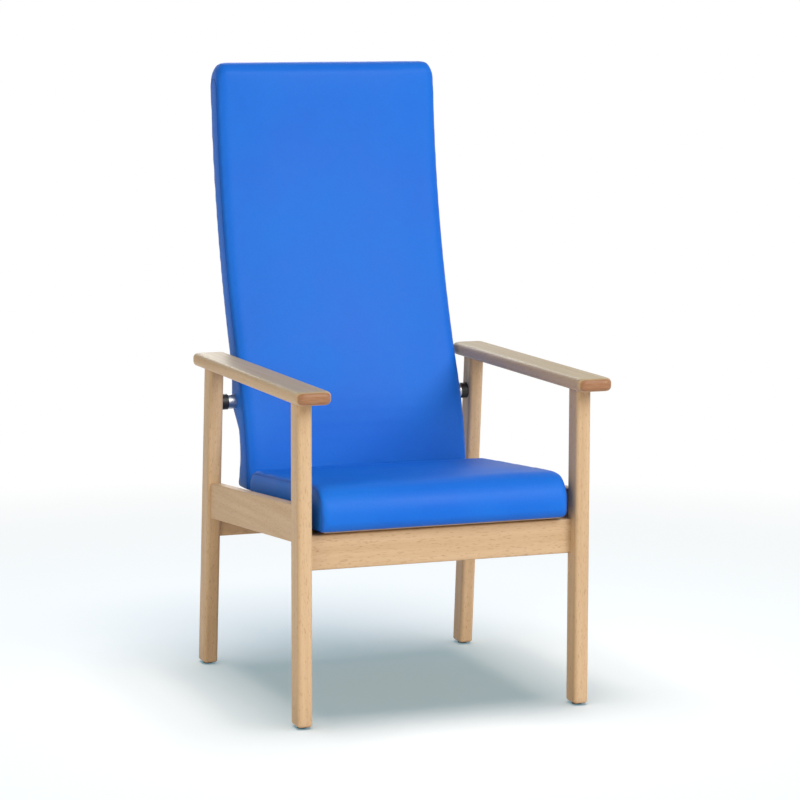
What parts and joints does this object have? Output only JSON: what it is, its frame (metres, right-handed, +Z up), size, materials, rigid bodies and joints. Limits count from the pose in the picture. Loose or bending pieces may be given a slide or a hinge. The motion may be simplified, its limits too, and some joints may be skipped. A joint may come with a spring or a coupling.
{
  "type": "high-back tilting armchair",
  "caption": "High-back care armchair: beech frame with flat armrests, blue padded back that tilts on side pivots and a padded seat that slides forward as the back reclines.",
  "frame": {"origin": "on the floor, at the middle of the overall footprint", "axes": "+Z up, +X to the sitter's left, -Y to the front"},
  "size_m": [0.598, 0.7394, 1.155],
  "materials": {
    "beech": "satin",
    "dowel_beech": "matte",
    "plywood": "matte",
    "blue_vinyl": "satin",
    "black_plastic": "matte",
    "white_nylon": "matte",
    "grey_steel": "satin",
    "bracket_steel": "satin",
    "screw_zinc": "satin"
  },
  "bodies": {
    "frame": {"front_post_left": "beech", "front_post_right": "beech", "rear_post_left": "beech", "rear_post_right": "beech", "armrest_left": "beech", "armrest_right": "beech", "side_rail_left": "beech", "side_rail_right": "beech", "seat_runner_left": "beech", "seat_runner_right": "beech", "seat_stop_left": "beech", "seat_stop_right": "beech", "front_rail": "beech", "rear_rail": "beech", "rail_dowels": "dowel_beech", "arm_dowels": "dowel_beech", "front_glide_left": "black_plastic", "front_glide_right": "black_plastic", "rear_glide_left": "black_plastic", "rear_glide_right": "black_plastic", "pivot_washer_left": "black_plastic", "pivot_washer_right": "black_plastic", "pivot_pin_left": "grey_steel", "pivot_pin_right": "grey_steel", "runner_screws": "screw_zinc"},
    "back": {"back_pad": "blue_vinyl", "back_shell": "plywood", "pivot_rail": "beech", "lower_rail": "beech", "rail_screws": "screw_zinc", "pivot_bush_left": "white_nylon", "pivot_bush_right": "white_nylon", "pivot_ferrule_left": "grey_steel", "pivot_ferrule_right": "grey_steel", "link_bracket_left": "bracket_steel", "link_bracket_right": "bracket_steel", "bracket_screws": "screw_zinc", "link_rod": "grey_steel", "rod_clip_left": "grey_steel", "rod_clip_right": "grey_steel"},
    "seat": {"seat_cushion": "blue_vinyl", "seat_board": "plywood", "front_slide_pad_left": "white_nylon", "front_slide_pad_right": "white_nylon", "rear_slide_pad_left": "white_nylon", "rear_slide_pad_right": "white_nylon", "seat_bracket_left": "bracket_steel", "seat_bracket_right": "bracket_steel", "seat_bracket_screws": "screw_zinc"}
  },
  "joints": [
    {"name": "back_recline", "type": "hinge", "parent": "frame", "child": "back", "pos_m": [0, 0.21933, 0.515], "axis": [-1, 0, 0], "range_deg": [0, 18]},
    {"name": "seat_slide", "type": "slide", "parent": "frame", "child": "seat", "axis": [0, -0.9971, 0.0758], "range_m": [0, 0.0605]}
  ],
  "couplings": [
    {"joint": "seat_slide", "follows": "back_recline", "m_per_rad": 0.19103}
  ]
}
